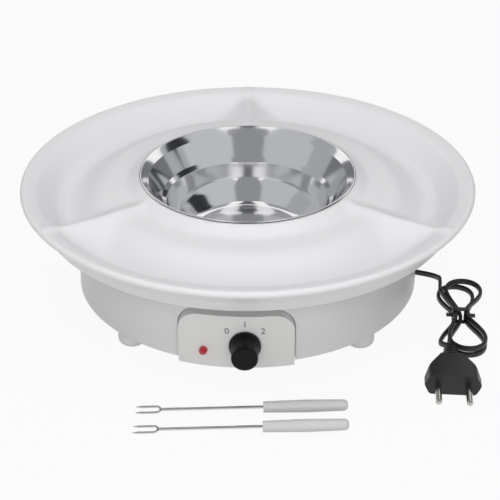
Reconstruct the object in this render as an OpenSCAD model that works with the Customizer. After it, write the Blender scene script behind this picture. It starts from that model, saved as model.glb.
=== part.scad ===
// Electric fondue pot: a round base with a heated well, a serving tray with three
// compartments, a steel bowl, two forks, and a mains lead tied in a hank.
// Millimetres, +Z up, the knob at -Y. The origin is on the pot's axis, at table level.

/* [Base] */
// Outer radius of the base at its bottom edge
base_r = 114.4; // [110:0.2:118]
// How much narrower the base is at its top
base_taper = 1.4; // [0.4:0.1:3]
// Height of the base wall
base_h = 43.4; // [42:0.2:50]
// Wall thickness of the base
base_wall = 2.4; // [2:0.1:3]
// Rounding of the base's upper edge
base_edge_r = 3; // [2.8:0.1:5]
// Radius of the well's mouth
well_r = 62; // [60:0.5:63]
// Radius of the well at its floor
well_floor_r = 58; // [57:0.5:59]
// Rounding of the well's corners
well_edge_r = 3; // [2.8:0.1:4]
// Radius of the opening in the well's floor
well_hole_r = 48; // [47.5:0.1:49]
// Height of the ring that centres the tray
ring_h = 3; // [2:0.5:4]
// Thickness of that ring
ring_t = 2.2; // [1.6:0.1:3]

/* [Feet] */
// Height of the base's bottom edge above the table
foot_h = 11.8; // [11:0.1:14]
// Radius of a foot
foot_r = 9.2; // [8:0.1:11]
// Rounding of a foot's lower edge
foot_edge_r = 4; // [1:0.1:4]
// How far a foot stays inside the base's bottom edge
foot_inset = 1.2; // [1:0.1:4]
// Number of feet
foot_count = 4; // [4:1:4]
// Radius of a foot's rubber pad
pad_r = 4.7; // [4:0.1:5]
// Thickness of a rubber pad
pad_t = 1.4; // [1:0.1:2]
// How far a pad stands out of its foot
pad_proud = 0.7; // [0.4:0.1:0.9]

/* [Bottom cover] */
// Thickness of the bottom cover
cover_t = 2.2; // [1.8:0.1:3]
// Gap round the cover's edge
cover_gap = 0.5; // [0.3:0.1:1]
// Number of vent slots
vent_count = 9; // [3:1:11]
// Width of a vent slot
vent_w = 3; // [2:0.5:3]
// Length of a vent slot
vent_l = 26; // [16:1:30]
// Distance from one vent slot to the next
vent_pitch = 7; // [5:0.5:8]
// Radius of a cover screw's shank
cover_screw_r = 1.75; // [1.5:0.05:2]
// Length of a cover screw's shank
cover_screw_l = 14; // [10:1:18]

/* [Tray] */
// Outer radius of the tray
tray_r = 150; // [146:0.5:156]
// Height of the tray above the base's deck
tray_h = 28.8; // [27:0.1:32]
// Wall thickness of the tray
tray_wall = 2.2; // [1.8:0.1:2.6]
// Rounding of the tray's rim
rim_r = 2.3; // [2.2:0.1:2.6]
// Width of the flatter band inside the rim
flare_w = 8; // [6:0.5:10]
// Slope of that band, in degrees
flare_slope = 10; // [6:1:16]
// Depth of the skirt below the rim
skirt_drop = 20.3; // [18:0.1:24]
// How far the skirt's lower edge lies inside the rim
skirt_in = 13.4; // [11:0.1:15]
// Where the collar round the bowl ends, as a share of the dish's width
collar_share = 0.32; // [0.29:0.01:0.34]
// How far the collar's outer edge lies below the rim
collar_drop = 3.8; // [3.4:0.1:4.2]
// Fall of the collar away from the bowl, in degrees
collar_slope = 2; // [1:0.5:4]
// Inner radius of the sleeve round the bowl
sleeve_r = 68; // [67.6:0.1:68.6]
// Width of the collar's edge that turns up under the bowl's lip
upstand_w = 12; // [10:0.5:14]
// Gap between that edge and the lip
lip_gap = 0.5; // [0.4:0.1:0.8]
// Depth of the compartments below the rim
tray_depth = 16; // [15:0.5:17]
// Where the compartments' floor begins, as a share of that width
floor_in_share = 0.6227; // [0.61:0.001:0.64]
// Where that floor ends, as a share of that width
floor_out_share = 0.7573; // [0.74:0.001:0.77]
// Where the ring stands that carries the tray, as a share of that width
stand_share = 0.471; // [0.42:0.001:0.48]
// Thickness of that ring
stand_t = 2; // [1.6:0.1:2.6]
// Number of ridges between the compartments
ridge_count = 3; // [3:1:3]
// Width of a ridge at its crest
ridge_w = 3; // [2:0.1:5]
// Width of a ridge at the floor
ridge_base_w = 32; // [28:1:36]
// How far a ridge's crest lies below the rim
ridge_drop = 2; // [1.6:0.1:2.4]
// How far the tray is turned on the base, in degrees
tray_turn = 0.6; // [-10:0.1:10]

/* [Bowl] */
// Radius of the bowl's lip
bowl_r = 71.7; // [71:0.1:74]
// Radius of the bowl's mouth below the lip
bowl_mouth_r = 65.7; // [64:0.1:66]
// Height of the lip above the mouth
bowl_lip_h = 4.7; // [4:0.1:6]
// Radius at the ledge in the bowl's wall
bowl_ledge_r = 55.5; // [52:0.5:57]
// Depth of the ledge below the lip
bowl_ledge_drop = 19; // [17:0.5:22]
// Radius of the flat bottom
bowl_floor_r = 38; // [34:0.5:42]
// Height of the bowl
bowl_h = 46.6; // [45:0.1:48]
// Thickness of the steel
bowl_t = 0.8; // [0.6:0.1:1]
// Height of the lip above the tray's rim
bowl_rise = 4.4; // [4.2:0.1:6]

/* [Heater] */
// Radius of the heating plate
plate_r = 53; // [52:0.5:54]
// Thickness of the heating plate
plate_t = 3.8; // [3:0.1:5]
// Outer radius of the flat heating element
element_r = 40; // [36:0.5:41]
// Inner radius of the flat heating element
element_in_r = 18; // [17:0.5:22]
// Thickness of the flat heating element
element_t = 1.1; // [1:0.1:1.2]
// Radius of the steel clamping plate under the heater
clamp_plate_r = 54; // [52:0.5:55]
// Thickness of the clamping plate
clamp_plate_t = 1.2; // [0.8:0.1:2]
// Radius of the circle of heater screws
heater_screw_ring = 44.5; // [43.5:0.1:45]
// Number of heater screws
heater_screw_count = 3; // [3:1:6]
// Radius of a small screw's shank
screw_r = 1.5; // [1.2:0.05:1.6]
// Radius of the thermostat
thermostat_r = 8; // [7:0.5:9]
// Height of the thermostat
thermostat_h = 13; // [10:0.5:14]
// Radius of the thermal fuse in its sleeve
fuse_r = 2; // [1.5:0.1:2.5]
// Length of the thermal fuse's sleeve
fuse_l = 26; // [20:1:30]

/* [Control panel] */
// How far the panel stands out of the base
panel_proud = 5.1; // [3:0.1:8]
// Panel's width from the knob's axis to the left
panel_left = 41.4; // [38:0.2:44]
// Panel's width from the knob's axis to the right
panel_right = 30.6; // [28:0.2:34]
// Height of the panel
panel_h = 37; // [35:0.5:38]
// Rounding of the panel's upper corners
panel_corner_r = 13; // [6:0.5:16]
// Wall thickness of the panel
panel_wall = 2.3; // [1.8:0.1:2.6]
// Shadow gap round the panel
panel_gap = 0.5; // [0.3:0.1:0.8]
// Width of the flange behind the base wall
panel_flange = 5; // [3:0.5:6]

/* [Knob] */
// Height of the knob's axis above the base's bottom edge
knob_rise = 17; // [16.5:0.1:18]
// Radius of the knob's flange
knob_flange_r = 9.9; // [9:0.1:12]
// Thickness of the knob's flange
knob_flange_t = 2.4; // [1.5:0.1:3]
// Radius of the knob's grip
knob_r = 8.2; // [8:0.1:8.6]
// Length of the knob
knob_l = 16.3; // [14:0.1:20]
// Gap between the knob and the panel
knob_gap = 0.5; // [0.3:0.1:1]
// Radius of the shaft
shaft_r = 3; // [2.5:0.1:3.2]
// Radial clearance of the shaft in its bush
shaft_fit = 0.05; // [0.02:0.01:0.1]

/* [Switch] */
// Width and height of the switch body
switch_w = 26; // [22:0.5:27]
// Depth of the switch body
switch_d = 14; // [10:0.5:18]
// Radius of the threaded bush
bush_r = 4.6; // [4.2:0.1:5]
// Thickness of the bush's nut
nut_t = 1.8; // [1.4:0.1:2.2]
// Width of the nut across its flats
nut_w = 12; // [10:0.5:13]

/* [Indicator] */
// Angle from the knob to the indicator, in degrees
led_angle = 12.3; // [11:0.1:15]
// Height of the indicator above the base's bottom edge
led_rise = 11.7; // [10:0.1:20]
// Radius of the indicator
led_r = 2.5; // [1.5:0.1:3]
// How far the indicator stands out of the panel
led_proud = 4.6; // [2:0.1:6]
// Width of the indicator's board
board_w = 16; // [14:0.5:18]
// Height of the board
board_h = 11; // [10:0.5:12]
// Thickness of the board
board_t = 1.6; // [1:0.1:2]

/* [Forks] */
// Radius of a fork's handle in its middle
handle_r = 3.9; // [3.2:0.1:5]
// Radius of a handle where the rod enters it
handle_neck_r = 3.4; // [3:0.1:3.8]
// Length of a handle
handle_l = 51; // [40:1:70]
// Radius of a fork's rod
rod_r = 1; // [0.8:0.05:1.2]
// Length of the rod from the handle to the tines
rod_l = 62; // [50:1:90]
// How far the rod goes into the handle
rod_in = 22; // [15:1:30]
// Length of the tines
tine_l = 15; // [10:0.5:20]
// Radius of a tine
tine_r = 0.75; // [0.6:0.05:0.9]
// Distance between the tines' centres
tine_gap = 6; // [5:0.1:9]

/* [Plug] */
// Width of the plug's face
plug_w = 35.3; // [30:0.1:40]
// Thickness of the plug
plug_t = 13.7; // [12:0.1:16]
// Length of the plug's body
plug_l = 26; // [22:1:32]
// Length of the plug's strain relief
relief_l = 14; // [10:1:20]
// Radius of the strain relief at the cord
relief_r = 4.4; // [3.5:0.1:5]
// Radius of a pin
pin_r = 2; // [1.5:0.1:2.5]
// Length of a pin
pin_l = 19; // [15:0.5:20]
// Distance between the pins
pin_gap = 18.6; // [16:0.1:20]

/* [Cord] */
// Thickness of the flat cord, across
cord_t = 2.4; // [2.4:0.1:2.4]
// Width of the flat cord, which stands on edge
cord_w = 4; // [4:0.1:4]
// Turns of the hank
hank_turns = 2; // [2:1:2]
// Length of the hank from fold to fold
hank_l = 84; // [76:1:90]
// Half width of a loop beyond the waist
hank_swell = 28; // [24:1:28]
// Distance between neighbouring runs at the waist
hank_pitch = 3.2; // [3.1:0.1:3.6]
// Distance between the hank's layers
hank_layer = 4.6; // [4.5:0.1:5]
// Width of the tie
tie_w = 4; // [3:0.5:5]
// Thickness of the tie
tie_t = 0.6; // [0.4:0.1:0.8]
// Length of the tapered boot where the cord leaves the base
boot_l = 22; // [20:1:24]
// Radius of the boot at its elbow
boot_r = 4.2; // [3.8:0.1:4.4]
// Radius of the boot at its end
boot_end_r = 3; // [2.8:0.1:3.2]

/* [Hidden] */

fine = 96;
medium = 40;
arc_steps = 6;
overrun = 1;
touch = 0.3;
fit = 0.05;

shell_colour = [0.84, 0.84, 0.83];
steel_colour = [0.78, 0.79, 0.8];
dark_colour = [0.09, 0.09, 0.09];

// Levels, from the table up
deck_z = foot_h + base_h;
cover_z = foot_h + cover_t;
rim_z = deck_z + tray_h;
collar_z = rim_z - collar_drop;
floor_z = rim_z - tray_depth;
base_top_r = base_r - base_taper;
bowl_z = rim_z + bowl_rise - bowl_h;
plate_z = bowl_z - plate_t;
well_under_z = plate_z - base_wall;
element_z = plate_z - element_t;
clamp_plate_z = well_under_z - clamp_plate_t;
knob_z = foot_h + knob_rise;
led_z = foot_h + led_rise;

// Places seen from above
foot_ring = base_r - foot_inset - foot_r;
foot_turn = 45;
cover_r = base_r - base_wall - cover_gap;
panel_r = base_r + panel_proud;
panel_in_r = panel_r - panel_wall;
flange_r = base_top_r - base_wall - touch;

// Vectors and outlines
function unit(v) = v / norm(v);
function polar(r, a) = [r * cos(a), r * sin(a)];
function smooth(x) = let (c = min(1, max(0, x))) c * c * (3 - 2 * c);

// An arc of radius r in the corner at b, between the directions of a and c
function fillet(a, b, c, r, n) =
    let (
        u = unit(a - b),
        v = unit(c - b),
        half = acos(u * v) / 2,
        centre = b + unit(u + v) * r / sin(half),
        from = b + u * r / tan(half) - centre,
        start = atan2(from[1], from[0]),
        turn = (180 - 2 * half) * sign(cross(v, u))
    )
    [for (k = [0 : n]) centre + polar(r, start + turn * k / n)];

// The path through the points p with each inner corner rounded by its radius
function rounded(p, r, n = arc_steps) = [
    for (i = [0 : len(p) - 1])
        each (r[i] == 0 ? [p[i]] : fillet(p[i - 1], p[i], p[i + 1], r[i], n))
];

// A path that runs beside p, at the distance t to its left
function beside(p, t) = [
    for (i = [0 : len(p) - 1])
        let (
            i0 = max(i, 1),
            i1 = min(i, len(p) - 2),
            into = unit(p[i0] - p[i0 - 1]),
            out = unit(p[i1 + 1] - p[i1]),
            side = [-into[1] - out[1], into[0] + out[0]] / 2
        )
        p[i] + side * t / (side * side)
];

function backwards(p) = [for (i = [len(p) - 1 : -1 : 0]) p[i]];
function shell(p, t) = concat(p, backwards(beside(p, t)));

// Solids used by several pieces
module ring(r_in, r_out, h) {
    difference() {
        cylinder(r = r_out, h = h, $fn = fine);
        translate([0, 0, -overrun]) cylinder(r = r_in, h = h + 2 * overrun, $fn = fine);
    }
}

module at_feet() {
    for (i = [0 : foot_count - 1])
        rotate([0, 0, foot_turn + 360 * i / foot_count]) translate([foot_ring, 0, 0]) children();
}

// A pan-head screw that points up, with the underside of its head at the origin
module screw(r, l) {
    head_r = 1.9 * r;
    head_h = 1.3 * r;
    slot = 0.45 * r;
    cylinder(r = r, h = l, $fn = medium);
    difference() {
        translate([0, 0, -head_h]) cylinder(r = head_r, h = head_h, $fn = medium);
        for (turn = [0, 90])
            rotate([0, 0, turn])
                translate([-head_r / 2, -slot / 2, -head_h - overrun])
                    cube([head_r, slot, overrun + head_h / 2]);
    }
}

// A tube of the section's outline swept along the path, with its ends square.
// The section's first coordinate lies level, and its second one stands up.
module swept(path, section) {
    n = len(section);
    last = len(path) - 1;
    points = [
        for (i = [0 : last])
            let (
                ahead = unit(path[min(i + 1, last)] - path[max(i - 1, 0)]),
                level = unit([ahead[1], -ahead[0], 0]),
                up = cross(level, ahead)
            )
            for (s = section) path[i] + level * s[0] + up * s[1]
    ];
    sides = [
        for (i = [0 : last - 1])
            for (k = [0 : n - 1])
                let (a = i * n + k, b = i * n + (k + 1) % n)
                each [[a, b, a + n], [b, b + n, a + n]]
    ];
    first_cap = [for (k = [1 : n - 2]) [0, k + 1, k]];
    last_cap = [for (k = [1 : n - 2]) [last * n, last * n + k, last * n + k + 1]];
    polyhedron(points = points, faces = concat(sides, first_cap, last_cap));
}

// A smooth curve through the points p, with n steps from each to the next
function smooth_path(p, n) = concat(
    [
        for (i = [0 : len(p) - 2])
            let (
                a = p[max(i - 1, 0)],
                b = p[i],
                c = p[i + 1],
                d = p[min(i + 2, len(p) - 1)]
            )
            for (k = [0 : n - 1])
                let (t = k / n)
                (2 * b + (c - a) * t + (2 * a - 5 * b + 4 * c - d) * t * t
                    + (3 * b - a - 3 * c + d) * t * t * t) / 2
    ],
    [p[len(p) - 1]]
);

// The same curve, with its first and last stretches straight for the length l
function straight_ends(p, l, n) =
    let (
        last = len(p) - 1,
        start = p[0] + unit(p[1] - p[0]) * l,
        end = p[last] + unit(p[last - 1] - p[last]) * l,
        middle = [for (i = [1 : 1 : last - 1]) p[i]]
    )
    concat([p[0]], smooth_path(concat([start], middle, [end]), n), [p[last]]);

function round_section(r, n) = [for (k = [0 : n - 1]) polar(r, 360 * (k + 0.5) / n)];

wire_r = 0.9;
wire_sides = 8;
module wire(p) {
    swept(straight_ends(p, 2 * wire_r, 3), round_section(wire_r, wire_sides));
}

// Base shell: outer wall, deck and well in one moulding, open below
window_top_z = foot_h + panel_h + panel_gap;
boss_r = 4.2;
panel_boss_r = 3.2;
panel_screw_r = 1.2;
panel_ear = 5;
seat_depth = 0.4;
panel_screw_angles = [
    -asin((panel_left + panel_flange) / flange_r) - 1,
    asin((panel_right + panel_flange) / flange_r) + 1
];
panel_screw_z = foot_h + panel_h / 2;
base_path = rounded(
    [
        [base_r, foot_h],
        [base_top_r, deck_z],
        [well_r, deck_z],
        [well_floor_r, plate_z],
        [well_hole_r, plate_z]
    ],
    [0, base_edge_r, well_edge_r, well_edge_r, 0]
);

module panel_outline(grow) {
    left = -panel_left - grow;
    right = panel_right + grow;
    top = foot_h + panel_h + grow;
    bottom = foot_h - grow;
    r = panel_corner_r + grow;
    polygon(rounded(
        [[left, bottom], [left, top], [right, top], [right, bottom]],
        [0, r, r, 0]
    ));
}

// The panel's front outline as a block that reaches back past the base wall
module panel_block(grow) {
    translate([0, -panel_r + 3 * base_wall + panel_proud + panel_left / 2, 0])
        rotate([90, 0, 0])
            linear_extrude(height = 3 * base_wall + 2 * panel_proud + panel_left / 2)
                panel_outline(grow);
}

module at_panel_screws() {
    for (a = panel_screw_angles)
        rotate([0, 0, a]) translate([0, -flange_r, panel_screw_z]) rotate([90, 0, 0]) children();
}

module housing() color(shell_colour) {
    boss_top = deck_z - base_wall / 2;
    pilot_l = cover_screw_l + overrun;
    difference() {
        union() {
            rotate_extrude($fn = fine) polygon(shell(base_path, base_wall));
            translate([0, 0, deck_z - base_wall / 2])
                ring(sleeve_r - touch - ring_t, sleeve_r - touch, ring_h + base_wall / 2);
            at_feet() translate([0, 0, cover_z]) cylinder(r = boss_r, h = boss_top - cover_z, $fn = medium);
            intersection() {
                at_panel_screws() cylinder(r = panel_boss_r, h = base_wall + 2 * touch, $fn = medium);
                translate([0, 0, foot_h]) cylinder(r = base_top_r, h = base_h, $fn = fine);
            }
        }
        intersection() {
            panel_block(panel_gap);
            translate([0, 0, foot_h - overrun])
                ring(flange_r - base_wall, panel_r + overrun, window_top_z - foot_h + overrun);
        }
        at_feet() translate([0, 0, cover_z - overrun])
            cylinder(r = cover_screw_r + fit, h = pilot_l, $fn = medium);
        at_panel_screws() translate([0, 0, -overrun])
            cylinder(r = panel_screw_r + fit, h = base_wall + overrun, $fn = medium);
    }
}

// Bottom cover with the feet moulded on. The cover screws sit deep in the feet.
cord_angle = 7.5;
exit_ring = 80;
exit_z = 6.4;
clamp_ring = 62;
clamp_span = 9;
clamp_bar_w = 8;
cord_in_z = cover_z + 1.2 + cord_t / 2;
pocket_r = 2.1 * cover_screw_r;
foot_seat_t = 2.4;

module foot() {
    top = foot_h + cover_t / 2;
    rotate_extrude($fn = fine)
        polygon(rounded(
            [[0, top], [0, pad_proud], [foot_r, pad_proud], [foot_r, top]],
            [0, 0, foot_edge_r, 0]
        ));
}

module bottom_cover() color(shell_colour) {
    seat_z = foot_h - foot_seat_t;
    difference() {
        union() {
            translate([0, 0, foot_h]) cylinder(r = cover_r, h = cover_t, $fn = fine);
            intersection() {
                at_feet() foot();
                union() {
                    cylinder(r = base_r, h = foot_h - touch, $fn = fine);
                    cylinder(r = cover_r, h = cover_z, $fn = fine);
                }
            }
            rotate([0, 0, cord_angle]) {
                for (side = [-1, 1])
                    translate([clamp_ring, side * clamp_span, foot_h + cover_t / 2])
                        cylinder(r = 2 * screw_r, h = cord_in_z + cord_t / 2 - foot_h - cover_t / 2, $fn = medium);
                translate([clamp_ring - clamp_bar_w / 2, -cord_w / 2, foot_h + cover_t / 2])
                    cube([clamp_bar_w, cord_w, cord_in_z - cord_t / 2 - foot_h - cover_t / 2]);
            }
        }
        at_feet() {
            translate([0, 0, -overrun]) cylinder(r = pad_r + fit, h = pad_t + overrun, $fn = medium);
            translate([0, 0, pad_t - overrun])
                cylinder(r = pocket_r, h = seat_z - pad_t + overrun, $fn = medium);
            translate([0, 0, seat_z - overrun])
                cylinder(r = cover_screw_r + fit, h = cover_t + foot_seat_t + 2 * overrun, $fn = medium);
        }
        rotate([0, 0, cord_angle]) {
            translate([exit_ring, 0, foot_h - overrun])
                cylinder(r = boot_r + fit, h = cover_t + 2 * overrun, $fn = medium);
            for (side = [-1, 1])
                translate([clamp_ring, side * clamp_span, foot_h - overrun])
                    cylinder(r = screw_r + fit, h = cord_in_z + cord_t + overrun - foot_h, $fn = medium);
        }
        for (i = [0 : vent_count - 1])
            translate([(i - (vent_count - 1) / 2) * vent_pitch - vent_w / 2, -vent_l / 2, foot_h - overrun])
                cube([vent_w, vent_l, cover_t + 2 * overrun]);
    }
}

module foot_pads() color([0.25, 0.25, 0.25]) {
    at_feet() cylinder(r = pad_r, h = pad_t, $fn = medium);
}

module cover_screws() color(steel_colour) {
    at_feet() translate([0, 0, foot_h - foot_seat_t]) screw(cover_screw_r, cover_screw_l);
}

// Control panel: a curved cap that fills the window in the base wall
bush_boss_r = 8;
switch_front = panel_in_r - 4;
peg_r = 1.1;
led_board_r = panel_in_r - led_r - touch;
peg_x = board_w / 2 - 2 * peg_r;

module at_led() {
    rotate([0, 0, -led_angle]) translate([0, -led_board_r, led_z]) rotate([90, 0, 0]) children();
}

module control_panel() color([0.86, 0.86, 0.85]) {
    inner = base_r - 3 * base_wall;
    low_z = cover_z + touch;
    difference() {
        union() {
            difference() {
                intersection() {
                    panel_block(0);
                    translate([0, 0, foot_h]) ring(flange_r - base_wall, panel_r, base_h);
                }
                intersection() {
                    panel_block(-panel_wall);
                    cylinder(r = panel_in_r, h = deck_z, $fn = fine);
                }
                cylinder(r = cover_r + touch, h = low_z, $fn = fine);
            }
            difference() {
                intersection() {
                    panel_block(panel_flange + panel_ear);
                    translate([0, 0, low_z])
                        ring(flange_r - base_wall, flange_r, foot_h + panel_h + panel_wall - low_z);
                }
                panel_block(-panel_wall);
            }
            intersection() {
                translate([0, -switch_front, knob_z]) rotate([90, 0, 0])
                    cylinder(r = bush_boss_r, h = panel_in_r - switch_front + panel_wall / 2, $fn = medium);
                cylinder(r = panel_r - panel_wall / 2, h = deck_z, $fn = fine);
            }
            at_led() for (side = [-1, 1])
                translate([side * peg_x, 0, -board_t])
                    cylinder(r = peg_r, h = panel_in_r - led_board_r + board_t + panel_wall / 2, $fn = medium);
        }
        translate([0, -inner, knob_z]) rotate([90, 0, 0])
            cylinder(r = bush_r + fit, h = panel_r - inner + overrun, $fn = medium);
        at_led() cylinder(r = led_r + fit, h = panel_r - led_board_r + overrun, $fn = medium);
        at_panel_screws() {
            translate([0, 0, -base_wall - overrun])
                cylinder(r = panel_screw_r + fit, h = base_wall + 2 * overrun, $fn = medium);
            translate([0, 0, -base_wall - overrun])
                cylinder(r = 2 * panel_screw_r, h = overrun + seat_depth, $fn = medium);
        }
    }
}

module panel_screws() color(steel_colour) {
    at_panel_screws() translate([0, 0, seat_depth - base_wall]) screw(panel_screw_r, 1.6 * base_wall);
}

// Rotary switch with its threaded bush, nut and shaft, all on the knob's axis
bush_out = 2.6;
shaft_back = 8;
shaft_in_knob = 9;
flat_share = 0.66;
blade_w = 4.8;
blade_t = 0.8;
blade_l = 7;
switch_back = switch_front - switch_d;
blade_places = [[-8, 7], [0, 7], [8, 7], [0, -8]];
knob_back = panel_r + knob_gap;

module on_knob_axis(r) {
    translate([0, -r, knob_z]) rotate([90, 0, 0]) children();
}

module rotary_switch() color([0.22, 0.22, 0.23]) {
    difference() {
        union() {
            on_knob_axis(switch_back)
                translate([-switch_w / 2, -switch_w / 2, 0]) cube([switch_w, switch_w, switch_d]);
            on_knob_axis(switch_front - base_wall / 2)
                cylinder(r = bush_r, h = panel_r + bush_out - switch_front + base_wall / 2, $fn = medium);
            for (p = blade_places)
                on_knob_axis(switch_back - blade_l)
                    translate([p[0] - blade_w / 2, p[1] - blade_t / 2, 0])
                        cube([blade_w, blade_t, blade_l + overrun]);
        }
        on_knob_axis(switch_front - shaft_back)
            cylinder(r = shaft_r + shaft_fit, h = panel_r + shaft_back, $fn = medium);
    }
}

module switch_nut() color(steel_colour) {
    nut_r = nut_w / 2 / cos(30);
    on_knob_axis(panel_r) difference() {
        cylinder(r = nut_r, h = nut_t, $fn = 6);
        translate([0, 0, -overrun]) cylinder(r = bush_r + fit, h = nut_t + 2 * overrun, $fn = medium);
    }
}

// The shaft's outline with its flat, which keeps the knob from slipping
module shaft_outline(grow) {
    intersection() {
        circle(r = shaft_r + grow, $fn = medium);
        translate([-2 * shaft_r, -2 * shaft_r])
            square([4 * shaft_r, 2 * shaft_r + flat_share * shaft_r + grow]);
    }
}

module switch_shaft() color(steel_colour) {
    round_l = knob_back + knob_recess - switch_front + shaft_back - 2 * touch;
    on_knob_axis(switch_front - shaft_back + touch)
        cylinder(r = shaft_r, h = round_l, $fn = medium);
    on_knob_axis(knob_back + knob_recess - overrun)
        linear_extrude(height = shaft_in_knob + overrun) shaft_outline(0);
}

// Knob: a flange, a drawn-in skirt and a round grip with a small pointer on top
knob_recess = bush_out + touch;
knob_recess_r = nut_w / 2 / cos(30) + touch;
knob_face_r = 1.2;
knob_waist_r = 7.9;
pointer_w = 1.2;
pointer_h = 0.5;
pointer_l = 6;

module knob() color(dark_colour) {
    waist_y = knob_flange_t + (knob_l - knob_flange_t) / 3;
    on_knob_axis(knob_back) {
        difference() {
            rotate_extrude($fn = fine)
                polygon(rounded(
                    [
                        [0, 0],
                        [knob_flange_r, 0],
                        [knob_flange_r, knob_flange_t],
                        [knob_waist_r, waist_y],
                        [knob_r, waist_y + (knob_l - waist_y) / 2],
                        [knob_r, knob_l],
                        [0, knob_l]
                    ],
                    [0, knob_flange_t / 4, knob_flange_t / 4, knob_l, knob_l, knob_face_r, 0]
                ));
            translate([0, 0, -overrun])
                cylinder(r = knob_recess_r, h = knob_recess + overrun, $fn = medium);
            translate([0, 0, knob_recess - overrun])
                linear_extrude(height = shaft_in_knob + touch + overrun) shaft_outline(fit);
        }
        translate([-pointer_w / 2, knob_r - pointer_h, knob_l - pointer_l - knob_face_r])
            cube([pointer_w, 2 * pointer_h, pointer_l]);
    }
}

// Indicator: a red light on a small board behind the panel
led_collar_r = led_r + 0.4;
led_collar_t = 1;

module indicator_lens() color([0.7, 0.05, 0.06]) {
    body = panel_r + led_proud - led_board_r;
    at_led() rotate_extrude($fn = medium)
        polygon(concat(
            [[0, 0], [led_collar_r, 0], [led_collar_r, led_collar_t], [led_r, led_collar_t]],
            [for (k = [0 : arc_steps]) [0, body - led_r] + polar(led_r, 90 * k / arc_steps)]
        ));
}

module indicator_board() color([0.15, 0.35, 0.2]) {
    at_led() difference() {
        translate([-board_w / 2, -board_h / 2, -board_t]) cube([board_w, board_h, board_t]);
        for (side = [-1, 1])
            translate([side * peg_x, 0, -board_t - overrun])
                cylinder(r = peg_r + fit, h = board_t + 2 * overrun, $fn = medium);
    }
}

// Heater: the plate sits on the well's floor, and a steel plate clamps it from below
heater_boss_r = 3;
plate_lip = 1;
clamp_hole_r = 17;
thermostat_ear = 12;
ear_t = 0.8;

module at_heater_screws() {
    for (i = [0 : heater_screw_count - 1])
        rotate([0, 0, 90 + 360 * i / heater_screw_count]) translate([heater_screw_ring, 0, 0]) children();
}

module heating_plate() color([0.7, 0.71, 0.72]) {
    difference() {
        union() {
            rotate_extrude($fn = fine)
                polygon(rounded(
                    [[0, plate_z], [plate_r, plate_z], [plate_r, bowl_z], [0, bowl_z]],
                    [0, 0, plate_lip, 0]
                ));
            at_heater_screws() translate([0, 0, well_under_z])
                cylinder(r = heater_boss_r, h = base_wall + plate_t / 2, $fn = medium);
        }
        at_heater_screws() translate([0, 0, well_under_z - overrun])
            cylinder(r = screw_r + fit, h = base_wall + plate_t / 2 + overrun, $fn = medium);
        for (side = [-1, 1])
            translate([side * thermostat_ear, 0, plate_z - overrun])
                cylinder(r = screw_r + fit, h = plate_t * 0.7 + overrun, $fn = medium);
    }
}

module heating_element() color([0.55, 0.42, 0.25]) {
    translate([0, 0, element_z]) ring(element_in_r, element_r, element_t);
}

module heater_insulation() color([0.9, 0.88, 0.82]) {
    translate([0, 0, well_under_z]) ring(element_in_r, element_r + touch, element_z - well_under_z);
}

module clamping_plate() color([0.66, 0.67, 0.68]) {
    difference() {
        translate([0, 0, clamp_plate_z]) ring(clamp_hole_r, clamp_plate_r, clamp_plate_t);
        at_heater_screws() translate([0, 0, clamp_plate_z - overrun])
            cylinder(r = screw_r + fit, h = clamp_plate_t + 2 * overrun, $fn = medium);
        translate([strap_x, fuse_y, clamp_plate_z - overrun])
            cylinder(r = screw_r + fit, h = clamp_plate_t + 2 * overrun, $fn = medium);
    }
}

module heater_screws() color(steel_colour) {
    at_heater_screws() translate([0, 0, clamp_plate_z])
        screw(screw_r, clamp_plate_t + base_wall + plate_t / 3);
}

// Thermostat against the middle of the heating plate, and the thermal fuse under a strap
fuse_y = -27;
strap_t = 0.8;
strap_w = 8;
strap_x = fuse_r + strap_t + 2 * screw_r + touch;
fuse_z = clamp_plate_z - fuse_r;
thermostat_screw_l = 3.2;
tag_x = 4;
tag_w = 0.8;
tag_d = 5;
tag_l = 6;

module thermostat() color([0.3, 0.26, 0.22]) {
    bottom = plate_z - thermostat_h;
    difference() {
        union() {
            translate([0, 0, bottom]) cylinder(r = thermostat_r, h = thermostat_h, $fn = medium);
            translate([-thermostat_ear - 2 * screw_r, -2 * screw_r, plate_z - ear_t])
                cube([2 * thermostat_ear + 4 * screw_r, 4 * screw_r, ear_t]);
            for (side = [-1, 1])
                translate([side * tag_x - tag_w / 2, -tag_d / 2, bottom - tag_l])
                    cube([tag_w, tag_d, tag_l + overrun]);
        }
        for (side = [-1, 1])
            translate([side * thermostat_ear, 0, plate_z - ear_t - overrun])
                cylinder(r = screw_r + fit, h = ear_t + 2 * overrun, $fn = medium);
    }
}

module thermostat_screws() color(steel_colour) {
    for (side = [-1, 1])
        translate([side * thermostat_ear, 0, plate_z - ear_t]) screw(screw_r, thermostat_screw_l);
}

module thermal_fuse() color([0.93, 0.93, 0.9]) {
    translate([0, fuse_y + fuse_l / 2, fuse_z]) rotate([90, 0, 0])
        cylinder(r = fuse_r, h = fuse_l, $fn = medium);
}

module fuse_strap() color(steel_colour) {
    loop_r = fuse_r + strap_t;
    translate([0, fuse_y, 0]) {
        difference() {
            translate([0, strap_w / 2, 0]) rotate([90, 0, 0])
                linear_extrude(height = strap_w) difference() {
                    union() {
                        translate([0, fuse_z]) circle(r = loop_r, $fn = medium);
                        translate([0, clamp_plate_z - strap_t])
                            square([strap_x + 2 * screw_r, strap_t]);
                    }
                    translate([0, fuse_z]) circle(r = fuse_r + fit, $fn = medium);
                    translate([-2 * loop_r, clamp_plate_z]) square([4 * loop_r, 2 * loop_r]);
                    translate([-2 * loop_r, fuse_z]) square([2 * loop_r, 2 * loop_r]);
                }
            translate([strap_x, 0, clamp_plate_z - strap_t - overrun])
                cylinder(r = screw_r + fit, h = strap_t + 2 * overrun, $fn = medium);
        }
    }
}

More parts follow.
